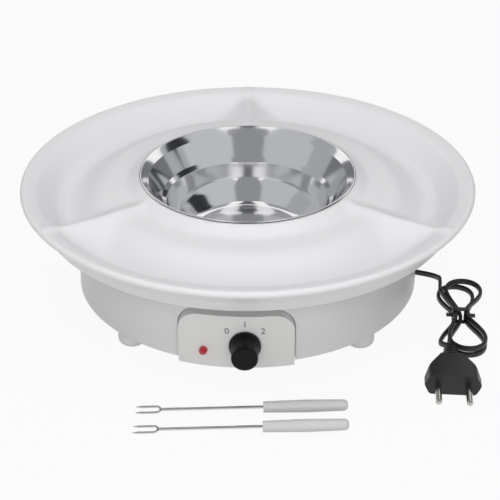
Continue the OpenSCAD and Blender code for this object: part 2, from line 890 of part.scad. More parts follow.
// Terminals and the clamp that holds the cord inside the base
block_ring = 44;
block_w = 24;
block_d = 13;
block_h = 11;
block_hole_r = 1.4;
core_gap = 7;
cord_split = 54;

module terminal_block() color([0.92, 0.9, 0.85]) {
    rotate([0, 0, cord_angle]) translate([block_ring, 0, cover_z]) difference() {
        translate([-block_d / 2, -block_w / 2, 0]) cube([block_d, block_w, block_h]);
        for (side = [-1, 1]) {
            translate([-block_d / 2 - overrun, side * core_gap, block_h / 2]) rotate([0, 90, 0])
                cylinder(r = block_hole_r, h = block_d + 2 * overrun, $fn = medium);
            translate([0, side * core_gap, block_h / 2])
                cylinder(r = 2 * block_hole_r, h = block_h, $fn = medium);
        }
    }
}

module cord_clamp() color([0.2, 0.2, 0.2]) {
    bar_z = cord_in_z + cord_t / 2;
    bar_l = 2 * clamp_span + 4 * screw_r;
    rotate([0, 0, cord_angle]) translate([clamp_ring, 0, bar_z]) difference() {
        translate([-clamp_bar_w / 2, -bar_l / 2, 0]) cube([clamp_bar_w, bar_l, cord_t]);
        for (side = [-1, 1])
            translate([0, side * clamp_span, -overrun])
                cylinder(r = screw_r + fit, h = cord_t + 2 * overrun, $fn = medium);
    }
}

module clamp_screws() color(steel_colour) {
    rotate([0, 0, cord_angle]) for (side = [-1, 1])
        translate([clamp_ring, side * clamp_span, cord_in_z + 1.5 * cord_t])
            mirror([0, 0, 1]) screw(screw_r, 2 * cord_t);
}

// Wires: brown from the terminal to the switch, white through the heater's parts,
// and blue back to the terminal
function turned(p, a) = concat(polar(p[0], a) + polar(p[1], a + 90), [p[2]]);
core_z = cover_z + block_h / 2;
live_out = turned([block_ring - block_d / 2 - touch, -core_gap, core_z], cord_angle);
neutral_out = turned([block_ring - block_d / 2 - touch, core_gap, core_z], cord_angle);
live_in = turned([block_ring + block_d / 2 + touch, -core_gap, core_z], cord_angle);
neutral_in = turned([block_ring + block_d / 2 + touch, core_gap, core_z], cord_angle);
cord_end = turned([cord_split - touch, 0, cord_in_z], cord_angle);
blade_y = -switch_back + blade_l + wire_r + touch;
blade_top_z = knob_z + blade_places[0][1];
tag_z = plate_z - thermostat_h - tag_l - wire_r - touch;
lead_z = element_z - 2 * wire_r;
fuse_ahead = [0, fuse_y - fuse_l / 2 - touch, fuse_z];
fuse_behind = [0, fuse_y + fuse_l / 2 + touch, fuse_z];

module live_wires() color([0.36, 0.2, 0.1]) {
    wire([
        live_out,
        live_out - [block_d / 2, block_d / 3, 0],
        [block_w, fuse_y - block_d, core_z],
        [blade_places[2][0], blade_y + 2 * blade_l, knob_z],
        [blade_places[2][0], blade_y, blade_top_z]
    ]);
    wire([
        live_in,
        live_in + unit(cord_end - live_in) * norm(cord_end - live_in) * 0.8
    ]);
}

module neutral_wires() color([0.1, 0.25, 0.6]) {
    wire([
        neutral_out,
        neutral_out + [-block_d / 2, block_d / 3, 0],
        [block_w, block_w + block_d / 2, core_z],
        [thermostat_r + wire_r, thermostat_r + block_d, tag_z + 2 * tag_l],
        [thermostat_r, thermostat_r + block_d, lead_z - clamp_plate_t - touch]
    ]);
    wire([
        neutral_in,
        neutral_in + unit(cord_end - neutral_in) * norm(cord_end - neutral_in) * 0.8
    ]);
}

module heater_wires() color([0.88, 0.87, 0.85]) {
    wire([
        [blade_places[0][0], blade_y, blade_top_z],
        [blade_places[0][0], blade_y + blade_l, blade_top_z],
        [-fuse_r, (blade_y + fuse_ahead[1]) / 2, (blade_top_z + fuse_z) / 2],
        fuse_ahead - [0, blade_l, 0],
        fuse_ahead
    ]);
    wire([
        fuse_behind,
        fuse_behind + [0, 2 * wire_r, 0],
        [-wire_r, fuse_behind[1] + 2 * wire_r, tag_z + tag_l],
        [-tag_x, -2 * wire_r, tag_z - 3 * wire_r],
        [-tag_x, 0, tag_z]
    ]);
    wire([
        [tag_x, 0, tag_z],
        [tag_x, thermostat_r, tag_z - 2 * wire_r],
        [0, 1.6 * thermostat_r, tag_z + tag_l],
        [-thermostat_r, thermostat_r + block_d, lead_z - clamp_plate_t - touch]
    ]);
}

// Tray: one moulding with a sleeve round the bowl, a collar that turns up under the
// bowl's lip, a sunken floor, a sloping wall with a flatter band at the rim, and a
// flared skirt under the rim
collar_edge_r = 12;
flare_edge_r = 6;
upstand_edge_r = 12;
skirt_edge_r = 14;
floor_edge_in_share = 0.4297;
floor_edge_out_share = 0.4588;
skirt_straight = 9;
skirt_angle = -43;
bowl_top = bowl_z + bowl_h;
bowl_edge = 0.8;
lip_slope = atan2(bowl_lip_h, bowl_r - bowl_edge - bowl_mouth_r);
lip_under = (bowl_t + lip_gap) / cos(lip_slope);
function under_lip(r) = [r, bowl_top - bowl_lip_h - lip_under + (r - bowl_mouth_r) * tan(lip_slope)];
upstand_r = bowl_r - bowl_t;
collar_in_r = sleeve_r + upstand_w;
rim_centre = [tray_r - rim_r, rim_z - rim_r];
rim_start = rim_centre + polar(rim_r, 90 + flare_slope);
rim_end = rim_centre + polar(rim_r, skirt_angle);
dish_w = rim_start[0] - flare_w * cos(flare_slope) - collar_in_r;
collar_r = collar_in_r + dish_w * collar_share;
floor_in_r = collar_in_r + dish_w * floor_in_share;
floor_out_r = collar_in_r + dish_w * floor_out_share;
stand_r = collar_in_r + dish_w * stand_share;
floor_w = floor_out_r - floor_in_r;
wall_top = rim_start - polar(flare_w, flare_slope);
floor_in_turn = atan2(collar_z - floor_z, floor_in_r - collar_r);
floor_out_turn = atan2(wall_top[1] - floor_z, wall_top[0] - floor_out_r);
floor_edge_in_r = floor_w * floor_edge_in_share / tan(floor_in_turn / 2);
floor_edge_out_r = floor_w * floor_edge_out_share / tan(floor_out_turn / 2);
function on_collar(r) = [r, collar_z + (collar_r - r) * tan(collar_slope)];
stand_fall = (stand_r - collar_r) / (floor_in_r - collar_r);
stand_top_z = collar_z + (floor_z - collar_z) * stand_fall - tray_wall / 2;
tray_cup = rounded(
    [
        under_lip(upstand_r),
        on_collar(collar_in_r),
        on_collar(collar_r),
        [floor_in_r, floor_z],
        [floor_out_r, floor_z],
        wall_top,
        rim_start
    ],
    [0, upstand_edge_r, collar_edge_r, floor_edge_in_r, floor_edge_out_r, flare_edge_r, 0]
);
tray_sleeve = [[sleeve_r, deck_z], under_lip(sleeve_r), under_lip(upstand_r)];
tray_skirt = rounded(
    [
        rim_end,
        rim_end + polar(skirt_straight, skirt_angle - 90),
        [tray_r - skirt_in, rim_z - skirt_drop]
    ],
    [0, skirt_edge_r, 0]
);
tray_rim = [
    for (k = [1 : arc_steps])
        rim_centre + polar(rim_r, 90 + flare_slope + (skirt_angle - 90 - flare_slope) * k / arc_steps)
];
tray_path = concat(
    [for (i = [0 : len(tray_sleeve) - 2]) tray_sleeve[i]],
    tray_cup,
    tray_rim,
    [for (i = [1 : len(tray_skirt) - 1]) tray_skirt[i]]
);

// A bar along a ridge, with sloping sides and a round crest. It is thinner by t.
module ridge_bar(t, from, to) {
    flank = atan2(2 * (tray_depth - ridge_drop), ridge_base_w - ridge_w);
    crest = ridge_w / 2 - t * tan(flank / 2);
    foot = ridge_base_w / 2 - t / sin(flank);
    top = rim_z - ridge_drop - t;
    bottom = floor_z - tray_wall - overrun;
    translate([from, 0, 0]) rotate([90, 0, 90]) linear_extrude(height = to - from)
        polygon(rounded(
            [[-foot, bottom], [-foot, floor_z], [-crest, top], [crest, top], [foot, floor_z], [foot, bottom]],
            [0, 0, 1.5 * crest, 1.5 * crest, 0, 0]
        ));
}

module at_ridges() {
    for (i = [0 : ridge_count - 1])
        rotate([0, 0, 90 + tray_turn + 360 * i / ridge_count]) children();
}

module tray() color([0.9, 0.9, 0.91]) {
    difference() {
        union() {
            rotate_extrude($fn = fine) polygon(shell(tray_path, -tray_wall));
            translate([0, 0, deck_z])
                ring(stand_r - stand_t, stand_r, stand_top_z - deck_z);
            intersection() {
                at_ridges() ridge_bar(0, collar_in_r, tray_r);
                rotate_extrude($fn = fine)
                    polygon(concat(beside(tray_cup, -tray_wall / 2), [[collar_in_r, rim_z + overrun]]));
            }
        }
        at_ridges() ridge_bar(tray_wall, stand_r + tray_wall, floor_out_r + tray_wall);
    }
}

// Bowl: pressed steel with a flared lip, a ledge in its wall and a flat bottom
lower_r = 50;
lower_h = 12.5;
bowl_path = rounded(
    [
        [0, bowl_z + bowl_t],
        [bowl_floor_r, bowl_z + bowl_t],
        [lower_r, bowl_z + lower_h],
        [bowl_ledge_r - 1.2, bowl_top - bowl_ledge_drop - 1.6],
        [bowl_ledge_r + 1.6, bowl_top - bowl_ledge_drop + 1.2],
        [bowl_mouth_r, bowl_top - bowl_lip_h],
        [bowl_r - bowl_edge, bowl_top],
        [bowl_r, bowl_top - bowl_edge]
    ],
    [0, 8, 16, 1.2, 2.4, 4, 0.4, 0]
);

module bowl() color([0.75, 0.76, 0.78]) {
    rotate_extrude($fn = fine) polygon(shell(bowl_path, -bowl_t));
}

// Forks: each lies on the table, resting on its handle's shoulder and its tines
fork_places = [[11.6, -148.8], [11.4, -168.5]];
fork_turns = [0.4, 0.5];
tine_taper = 3;
end_r = 2.6;
fork_tilt = asin((handle_neck_r - tine_r) / (rod_l + tine_l));

// A fork's own frame: its axis along X, the handle's shoulder at the origin
module at_fork(i) {
    translate([fork_places[i][0], fork_places[i][1], 0])
        rotate([0, 0, fork_turns[i]])
            rotate([0, -fork_tilt, 0])
                translate([0, 0, handle_neck_r / cos(fork_tilt)])
                    children();
}

module along_x(from) {
    translate([from, 0, 0]) rotate([0, 90, 0]) children();
}

module fork_steel() color(steel_colour) {
    bend_x = -rod_l;
    along_x(bend_x) cylinder(r = rod_r, h = rod_l + rod_in, $fn = medium);
    translate([bend_x - tine_gap / 2, 0, 0]) {
        rotate([0, 0, -90]) rotate_extrude(angle = 180, $fn = medium)
            translate([tine_gap / 2, 0]) circle(r = tine_r, $fn = medium);
        for (side = [-1, 1]) translate([0, side * tine_gap / 2, 0]) {
            straight = tine_l - tine_gap / 2 - tine_taper;
            along_x(-straight) cylinder(r = tine_r, h = straight, $fn = medium);
            along_x(-straight - tine_taper)
                cylinder(r1 = tine_r / 3, r2 = tine_r, h = tine_taper, $fn = medium);
        }
    }
}

module fork_handle() color([0.85, 0.85, 0.85]) {
    difference() {
        rotate([0, 90, 0]) rotate_extrude($fn = fine)
            polygon(rounded(
                [
                    [0, 0],
                    [handle_neck_r, 0],
                    [handle_r, handle_l / 2],
                    [handle_neck_r, handle_l],
                    [0, handle_l]
                ],
                [0, 0, 3 * handle_l, end_r, 0]
            ));
        along_x(-overrun) cylinder(r = rod_r + fit, h = rod_in + fit + overrun, $fn = medium);
    }
}

module fork_1() at_fork(0) fork_steel();
module fork_1_handle() at_fork(0) fork_handle();
module fork_2() at_fork(1) fork_steel();
module fork_2_handle() at_fork(1) fork_handle();

// Mains cord: flat twin lead that stands on edge, out through the bottom cover,
// along the table and into a hank that a tie holds at its waist
boot_flange_w = 12;
boot_flange_h = 5;

module cord_boot() color(dark_colour) {
    rotate([0, 0, cord_angle]) translate([exit_ring, 0, 0]) {
        translate([0, 0, exit_z]) sphere(r = boot_r, $fn = medium);
        translate([0, 0, exit_z]) cylinder(r = boot_r, h = cover_z + overrun - exit_z, $fn = medium);
        translate([-boot_flange_w / 2, -boot_flange_w / 2, cover_z])
            cube([boot_flange_w, boot_flange_w, boot_flange_h]);
        translate([0, 0, exit_z]) rotate([0, 90, 0])
            cylinder(r1 = boot_r, r2 = boot_end_r, h = boot_l, $fn = medium);
    }
}

module cord_inside() color(dark_colour) {
    start = exit_ring - boot_flange_w / 2;
    rotate([0, 0, cord_angle]) translate([cord_split, 0, cord_in_z]) rotate([90, 0, 90])
        linear_extrude(height = start - cord_split)
            polygon(rounded(
                [
                    [0, -cord_t / 2],
                    [cord_w / 2, -cord_t / 2],
                    [cord_w / 2, cord_t / 2],
                    [-cord_w / 2, cord_t / 2],
                    [-cord_w / 2, -cord_t / 2],
                    [0, -cord_t / 2]
                ],
                [0, cord_t / 3, cord_t / 3, cord_t / 3, cord_t / 3, 0]
            ));
}

// The cord's section on edge, with 8 corners on the lead and 6 on the hank
lead_section = [
    for (p = [[1, -0.5], [1, 0.5], [0.5, 1], [-0.5, 1], [-1, 0.5], [-1, -0.5], [-0.5, -1], [0.5, -1]])
        [p[0] * cord_t / 2, p[1] * cord_w / 2]
];
hank_section = [
    for (p = [[1, -0.6], [1, 0.6], [0, 1], [-1, 0.6], [-1, -0.6], [0, -1]])
        [p[0] * cord_t / 2, p[1] * cord_w / 2]
];

// The hank's own frame: the tie at its origin, the cord's folds at -Y and +Y
hank_place = [141.5, -46.5, 0];
hank_turn = -3.7;
hank_bottom_z = cord_w / 2;
tie_lift = tie_t + touch;
tie_slack = 0.5;
fold_share = 0.1;
soft_share = 0.3;
waist_share = 0.7;
side_steps = [3, 3, 3, -2, -1.5];
ring_share = 0.2;
run_in = 45;
run_out = 30;

function hank_side(a) = a < 0 ? 0 : side_steps[min(floor(a / 180), len(side_steps) - 1)];

// The cord's centre at the angle a: 0 at the waist on the first run, 90 at the first fold
function hank_at(a) =
    let (
        s = sin(a),
        c = cos(a),
        away = smooth(abs(s) / waist_share),
        middle = abs(a - 360) < 90 ? hank_pitch * (1 - away) : 0,
        swell = hank_pitch + hank_swell * (sqrt(s * s + soft_share * soft_share) - soft_share),
        layer = hank_layer * (1 - smooth((a - 315) / 60))
    )
    [
        -c * swell + hank_side(a) * away + middle,
        -hank_l / 2 * s * (1 - fold_share * c * c),
        hank_bottom_z + layer + tie_lift * pow(c, 8)
    ];

hank_rings = 24 * hank_turns;
hank_from = -run_in;
hank_to = 360 * hank_turns + run_out;
function waist_close(a) = a - ring_share * sin(2 * a) * 180 / PI;
function hank_points(n) = [
    for (k = [0 : n]) hank_at(waist_close(hank_from + (hank_to - hank_from) * k / n))
];
function ahead_of(a, l) = unit(hank_at(a + 1) - hank_at(a)) * l;
hank_first = waist_close(hank_from);
hank_last = waist_close(hank_to);
hank_path = concat(
    [hank_at(hank_first) - ahead_of(hank_first, cord_w)],
    hank_points(hank_rings + 5),
    [hank_at(hank_last) + ahead_of(hank_last, cord_w)]
);

// The least gap between two stretches of the hank, level or upright
hank_fine = hank_points(6 * hank_rings);
function flat_gap(a, b) =
    max(norm([a[0] - b[0], a[1] - b[1]]) - cord_t, abs(a[2] - b[2]) - cord_w);
hank_gap = min([
    for (i = [0 : len(hank_fine) - 1])
        for (j = [i + 12 : len(hank_fine) - 1])
            flat_gap(hank_fine[i], hank_fine[j])
]);
echo(hank_gap = hank_gap);

function on_table(p) = hank_place + concat(
    [p[0] * cos(hank_turn) - p[1] * sin(hank_turn), p[0] * sin(hank_turn) + p[1] * cos(hank_turn)],
    [p[2]]
);

module cord_hank() color(dark_colour) {
    swept([for (p = hank_path) on_table(p)], hank_section);
}

lead_start = turned([exit_ring + boot_l, 0, exit_z], cord_angle);
lead_points = concat(
    [lead_start, lead_start + concat(polar(cord_w, cord_angle), [0])],
    [
        [112, 14.7, 3.8],
        [118, 14.4, 2.3],
        [123.5, 12.8, 2.1],
        [128, 9.4, 2.8],
        [130.9, 4.8, 4.2],
        [132.3, -0.8, 5.6]
    ],
    [
        on_table(hank_path[0]) - unit(on_table(hank_path[1]) - on_table(hank_path[0])) * cord_w,
        on_table(hank_path[0])
    ]
);

module cord_lead() color(dark_colour) {
    swept(straight_ends(lead_points, cord_w / 2, 2), lead_section);
}

plug_x = -8.5;
plug_y = -44;
tail_start = hank_path[len(hank_path) - 1];
tail_points = [
    tail_start,
    tail_start + ahead_of(hank_last, cord_w),
    [-14.4, -31, 3.6],
    [-11.4, -37.5, 5.8],
    [plug_x, plug_y + cord_w, plug_t / 2],
    [plug_x, plug_y, plug_t / 2]
];

module cord_tail() color(dark_colour) {
    swept([for (p = straight_ends(tail_points, cord_w / 2, 2)) on_table(p)], lead_section);
}

module cord_tie() color([0.13, 0.13, 0.13]) {
    half_w = hank_pitch + cord_t / 2 + tie_slack + touch;
    low = 0;
    high = cord_w + hank_layer + tie_lift + touch + tie_t;
    r = 3 * tie_t;
    translate(hank_place) rotate([0, 0, hank_turn]) translate([0, tie_w / 2, 0]) rotate([90, 0, 0])
        linear_extrude(height = tie_w) {
            difference() {
                polygon(rounded(
                    [
                        [0, low], [half_w + tie_t, low], [half_w + tie_t, high],
                        [-half_w - tie_t, high], [-half_w - tie_t, low], [0, low]
                    ],
                    [0, r, r, r, r, 0]
                ));
                polygon(rounded(
                    [
                        [0, low + tie_t], [half_w, low + tie_t], [half_w, high - tie_t],
                        [-half_w, high - tie_t], [-half_w, low + tie_t], [0, low + tie_t]
                    ],
                    [0, r - tie_t, r - tie_t, r - tie_t, r - tie_t, 0]
                ));
            }
            for (side = [-1, 1])
                translate([side * (half_w + tie_w / 2) - (tie_w + tie_t) / 2, high / 2])
                    square([tie_w + tie_t, tie_t]);
        }
}

// Plug: a flat two-pin plug with a tapered body and a ribbed strain relief
plug_neck_w = 13.4;
plug_block_l = 7;
plug_edge_r = 1.6;
groove_w = 1.2;
groove_depth = 0.7;
groove_count = 4;
pin_root_l = 6.5;
pin_root_share = 0.7;

module at_plug() {
    translate(hank_place) rotate([0, 0, hank_turn])
        translate([plug_x, plug_y - relief_l, plug_t / 2]) children();
}

module plug_body() color(dark_colour) {
    at_plug() difference() {
        union() {
            intersection() {
                translate([0, 0, -plug_t / 2]) linear_extrude(height = plug_t)
                    polygon(rounded(
                        [
                            [0, 0],
                            [-plug_neck_w / 2, 0],
                            [-plug_w / 2, plug_block_l - plug_l],
                            [-plug_w / 2, -plug_l],
                            [plug_w / 2, -plug_l],
                            [plug_w / 2, plug_block_l - plug_l],
                            [plug_neck_w / 2, 0],
                            [0, 0]
                        ],
                        [0, plug_edge_r, plug_block_l, plug_edge_r, plug_edge_r, plug_block_l, plug_edge_r, 0]
                    ));
                translate([0, overrun, 0]) rotate([90, 0, 0]) linear_extrude(height = plug_l + 2 * overrun)
                    polygon(rounded(
                        [
                            [0, -plug_t / 2], [plug_w / 2 - plug_t / 4, -plug_t / 2], [plug_w / 2, 0],
                            [plug_w / 2 - plug_t / 4, plug_t / 2], [-plug_w / 2 + plug_t / 4, plug_t / 2],
                            [-plug_w / 2, 0], [-plug_w / 2 + plug_t / 4, -plug_t / 2], [0, -plug_t / 2]
                        ],
                        [0, 3, 2, 3, 3, 2, 3, 0]
                    ));
            }
            translate([0, relief_l, 0]) rotate([90, 0, 0])
                cylinder(r1 = relief_r, r2 = plug_neck_w / 2 - touch, h = relief_l + overrun, $fn = medium);
        }
        for (i = [1 : groove_count])
            translate([0, relief_l * (i - 0.5) / groove_count + groove_w / 2, 0]) rotate([90, 0, 0])
                ring(
                    relief_r + (plug_neck_w / 2 - relief_r) * (1 - (i - 0.5) / groove_count) - groove_depth,
                    plug_neck_w,
                    groove_w
                );
        for (side = [-1, 1])
            translate([side * pin_gap / 2, -plug_l + pin_root_l, 0]) rotate([90, 0, 0])
                cylinder(r = pin_root_share * pin_r + fit, h = pin_root_l + overrun, $fn = medium);
    }
}

module plug_pins() color(steel_colour) {
    tip = pin_r / 2;
    at_plug() for (side = [-1, 1])
        translate([side * pin_gap / 2, -plug_l, 0]) rotate([90, 0, 0]) {
            translate([0, 0, fit - pin_root_l])
                cylinder(r = pin_root_share * pin_r, h = pin_root_l, $fn = medium);
            cylinder(r = pin_r, h = pin_l - tip, $fn = medium);
            translate([0, 0, pin_l - tip]) cylinder(r1 = pin_r, r2 = pin_r - tip, h = tip, $fn = medium);
        }
}

housing();
bottom_cover();
foot_pads();
cover_screws();
control_panel();
panel_screws();
rotary_switch();
switch_nut();
switch_shaft();
knob();
indicator_lens();
indicator_board();
heating_plate();
heating_element();
heater_insulation();
clamping_plate();
heater_screws();
thermostat();
thermostat_screws();
thermal_fuse();
fuse_strap();
terminal_block();
cord_clamp();
clamp_screws();
live_wires();
neutral_wires();
heater_wires();
tray();
bowl();
fork_1();
fork_1_handle();
fork_2();
fork_2_handle();
cord_boot();
cord_inside();
cord_lead();
cord_hank();
cord_tie();
cord_tail();
plug_body();
plug_pins();
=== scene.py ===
import math
import bpy
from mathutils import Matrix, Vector


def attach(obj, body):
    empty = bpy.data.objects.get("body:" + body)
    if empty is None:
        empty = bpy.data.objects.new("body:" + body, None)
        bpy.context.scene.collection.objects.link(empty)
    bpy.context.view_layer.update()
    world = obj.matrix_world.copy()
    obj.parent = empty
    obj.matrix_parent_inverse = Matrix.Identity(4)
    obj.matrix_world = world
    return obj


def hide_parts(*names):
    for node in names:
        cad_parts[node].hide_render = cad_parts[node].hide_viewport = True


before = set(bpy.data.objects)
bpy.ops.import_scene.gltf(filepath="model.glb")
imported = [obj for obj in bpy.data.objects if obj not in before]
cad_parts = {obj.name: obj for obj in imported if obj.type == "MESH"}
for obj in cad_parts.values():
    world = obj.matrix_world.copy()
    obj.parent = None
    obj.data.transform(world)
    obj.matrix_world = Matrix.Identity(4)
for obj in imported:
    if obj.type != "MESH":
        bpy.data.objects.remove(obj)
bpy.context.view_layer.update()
bpy.context.scene.view_settings.view_transform = "Standard"


# Camera. It stands a metre in front of the pot, a little to the right of the knob's axis,
# and looks down at 30 degrees, as the photographer's did.
AIM = Vector((0, 0, 0.0275))
DISTANCE = 1.0
ELEVATION = math.radians(29.63)
AZIMUTH = math.radians(0.76)
SIDE_STEP = 0.00151
LENS_MM, SENSOR_MM = 105.44, 36
NEAREST_SEEN = 0.01

away = Vector((0, -math.cos(ELEVATION), math.sin(ELEVATION))) * DISTANCE
eye = away + Vector((SIDE_STEP, 0, 0))
eye = Vector((
    eye.x * math.cos(AZIMUTH) - eye.y * math.sin(AZIMUTH),
    eye.x * math.sin(AZIMUTH) + eye.y * math.cos(AZIMUTH),
    eye.z,
))
bpy.ops.object.camera_add(
    location=AIM + eye,
    rotation=(math.pi / 2 - ELEVATION, 0, AZIMUTH),
)
camera = bpy.context.object
camera.name = "camera"
camera.data.lens = LENS_MM
camera.data.sensor_width = SENSOR_MM
camera.data.clip_start = NEAREST_SEEN
bpy.context.scene.camera = camera


# Mains cord. A flat twin lead with a satin PVC sheath, 2.4 by 4 mm, lies on edge: out of
# the boot under the base, along the table, through a hank of two turns and to the plug.
CORD_THICK = 0.0024
CORD_WIDE = 0.004
EXIT_ANGLE = math.radians(7.5)
EXIT_RING = 0.102
EXIT_Z = 0.0064
HANK_PLACE = Vector((0.1415, -0.0465, 0))
HANK_TURN = math.radians(-3.7)
HANK_LONG = 0.084
HANK_SWELL = 0.028
HANK_PITCH = 0.0032
HANK_LAYER = 0.0046
HANK_FROM, HANK_TO = -45, 750
HANK_MIDDLE = 360
WAIST_REACH = 0.7
WAIST_ROUND = 0.3
WAIST_CLOSE = 0.2
TIP_FLAT = 0.1
LAYER_FROM, LAYER_TURN = 315, 60
TIE_LIFT, TIE_SHARP = 0.0009, 8
SIDE_STEPS = (0.003, 0.003, 0.003, -0.002, -0.0015)
PLUG_X, PLUG_Y, PLUG_THICK = -0.0085, -0.044, 0.0137


def ease(x):
    """A smooth step from 0 to 1."""
    x = min(1, max(0, x))
    return x * x * (3 - 2 * x)


def hank_point(degrees):
    """A point at an angle along the hank's turns, which the tie draws in at the waist."""
    turn = math.radians(degrees)
    s, c = math.sin(turn), math.cos(turn)
    out = ease(abs(s) / WAIST_REACH)
    side = SIDE_STEPS[min(int(degrees // 180), len(SIDE_STEPS) - 1)] if degrees >= 0 else 0
    middle = HANK_PITCH * (1 - out) if abs(degrees - HANK_MIDDLE) < 90 else 0
    swell = HANK_PITCH + HANK_SWELL * (math.hypot(s, WAIST_ROUND) - WAIST_ROUND)
    layer = HANK_LAYER * (1 - ease((degrees - LAYER_FROM) / LAYER_TURN))
    return Vector((
        -c * swell + side * out + middle,
        -HANK_LONG / 2 * s * (1 - TIP_FLAT * c * c),
        CORD_WIDE / 2 + layer + TIE_LIFT * c ** TIE_SHARP,
    ))


def on_table(p):
    """The hank's point, turned and moved to its place on the table."""
    c, s = math.cos(HANK_TURN), math.sin(HANK_TURN)
    return HANK_PLACE + Vector((p.x * c - p.y * s, p.x * s + p.y * c, p.z))


def waist_close(degrees):
    """The angle, shifted so that even steps stand closer at the waist."""
    return degrees - WAIST_CLOSE * math.degrees(math.sin(math.radians(2 * degrees)))


def flowing(points, steps):
    """A smooth curve through the points."""
    curve = []
    for i in range(len(points) - 1):
        a, b = points[max(i - 1, 0)], points[i]
        c, d = points[i + 1], points[min(i + 2, len(points) - 1)]
        for k in range(steps):
            t = k / steps
            curve.append((2 * b + (c - a) * t + (2 * a - 5 * b + 4 * c - d) * t * t
                          + (3 * b - a - 3 * c + d) * t ** 3) / 2)
    return curve + [points[-1]]


def with_straight_ends(points, length, steps):
    """A flowing curve that starts and ends with a straight stretch of that length."""
    start = points[0] + (points[1] - points[0]).normalized() * length
    end = points[-1] + (points[-2] - points[-1]).normalized() * length
    return [points[0]] + flowing([start] + points[1:-1] + [end], steps) + [points[-1]]


def tube(name, path, section):
    """A closed tube of an upright section along a path, with its rings square to it."""
    rings, faces, around = [], [], len(section)
    for i, point in enumerate(path):
        ahead = (path[min(i + 1, len(path) - 1)] - path[max(i - 1, 0)]).normalized()
        level = Vector((ahead.y, -ahead.x, 0)).normalized()
        up = level.cross(ahead)
        rings += [point + level * x + up * z for x, z in section]
    for i in range(len(path) - 1):
        for k in range(around):
            a, b = i * around + k, i * around + (k + 1) % around
            faces.append((a, b, b + around, a + around))
    faces.append(tuple(range(around))[::-1])
    faces.append(tuple(range(len(rings) - around, len(rings))))
    mesh = bpy.data.meshes.new(name)
    mesh.from_pydata(rings, [], faces)
    piece = bpy.data.objects.new(name, mesh)
    bpy.context.scene.collection.objects.link(piece)
    return piece


def heading(degrees):
    """The way that the hank runs at an angle."""
    return (hank_point(degrees + 1) - hank_point(degrees)).normalized()


exit_way = Vector((math.cos(EXIT_ANGLE), math.sin(EXIT_ANGLE), 0))
exit_point = exit_way * EXIT_RING + Vector((0, 0, EXIT_Z))
first, last = waist_close(HANK_FROM), waist_close(HANK_TO)
hank_start = hank_point(first) - heading(first) * CORD_WIDE
hank_end = hank_point(last) + heading(last) * CORD_WIDE
into_hank = (on_table(hank_point(first)) - on_table(hank_start)).normalized()
lead_points = [
    exit_point,
    exit_point + exit_way * CORD_WIDE,
    Vector((0.112, 0.0147, 0.0038)),
    Vector((0.118, 0.0144, 0.0023)),
    Vector((0.1235, 0.0128, 0.0021)),
    Vector((0.128, 0.0094, 0.0028)),
    Vector((0.1309, 0.0048, 0.0042)),
    Vector((0.1323, -0.0008, 0.0056)),
    on_table(hank_start) - into_hank * CORD_WIDE,
    on_table(hank_start),
]
tail_points = [
    hank_end,
    hank_end + heading(last) * CORD_WIDE,
    Vector((-0.0144, -0.031, 0.0036)),
    Vector((-0.0114, -0.0375, 0.0058)),
    Vector((PLUG_X, PLUG_Y + CORD_WIDE, PLUG_THICK / 2)),
    Vector((PLUG_X, PLUG_Y, PLUG_THICK / 2)),
]
HANK_RINGS = 212
CURVE_STEPS = 5
hank_curve = [
    on_table(hank_point(waist_close(HANK_FROM + (HANK_TO - HANK_FROM) * k / HANK_RINGS)))
    for k in range(HANK_RINGS + 1)
]
lead_curve = with_straight_ends(lead_points, CORD_WIDE / 2, CURVE_STEPS)
tail_curve = with_straight_ends(tail_points, CORD_WIDE / 2, CURVE_STEPS)
cord_path = lead_curve + hank_curve + [on_table(p) for p in tail_curve]
SECTION_FROM, SECTION_TURN, SECTION_PARTS = 2, 176, 7
core = (CORD_WIDE - CORD_THICK) / 2
cord_section = []
for part in range(SECTION_PARTS + 1):
    a = math.radians(SECTION_FROM + SECTION_TURN * part / SECTION_PARTS)
    cord_section.append((
        CORD_THICK / 2 * math.cos(a),
        math.copysign(core, math.sin(a)) + CORD_THICK / 2 * math.sin(a),
    ))
cord_section += [(-x, -z) for x, z in cord_section]


# Finishes. Colours are written as sRGB hex and turned to linear, and each node is added
# with its settings and links in one go.
def linear(hex_colour):
    """The linear colour that Blender takes, from an sRGB hex one."""
    channels = [int(hex_colour[i:i + 2], 16) / 255 for i in (0, 2, 4)]
    return [c / 12.92 if c <= 0.04045 else ((c + 0.055) / 1.055) ** 2.4 for c in channels] + [1]


def add_node(tree, kind, settings, links):
    """A node with its settings, by socket or property, and the sockets that feed it."""
    node = tree.nodes.new(kind)
    for name, value in settings.items():
        if isinstance(name, int) or name in node.inputs:
            node.inputs[name].default_value = value
        else:
            setattr(node, name, value)
    for name, socket in links.items():
        tree.links.new(socket, node.inputs[name])
    return node


def new_finish(name):
    """A material with its tree, its shader and the Object coordinates."""
    made = bpy.data.materials.new(name)
    made.use_nodes = True
    tree = made.node_tree
    place = add_node(tree, "ShaderNodeTexCoord", {}, {}).outputs["Object"]
    return made, tree, tree.nodes["Principled BSDF"], place


# Soft PVC, extruded: a smooth sheath with a dull gloss, hazed and uneven by about a
# millimetre, which breaks the highlight along it.
sheath, tree, shader, place = new_finish("pvc_sheath_satin_black")
haze = add_node(tree, "ShaderNodeTexNoise", {"Scale": 900, "Detail": 2}, {"Vector": place})
gloss = add_node(
    tree, "ShaderNodeMapRange",
    {"To Min": 0.34, "To Max": 0.46}, {"Value": haze.outputs["Fac"]},
)
uneven = add_node(
    tree, "ShaderNodeBump",
    {"Strength": 0.12, "Distance": 0.0001}, {"Height": haze.outputs["Fac"]},
)
shader.inputs["Base Color"].default_value = linear("161618")
tree.links.new(gloss.outputs["Result"], shader.inputs["Roughness"])
tree.links.new(uneven.outputs["Normal"], shader.inputs["Normal"])

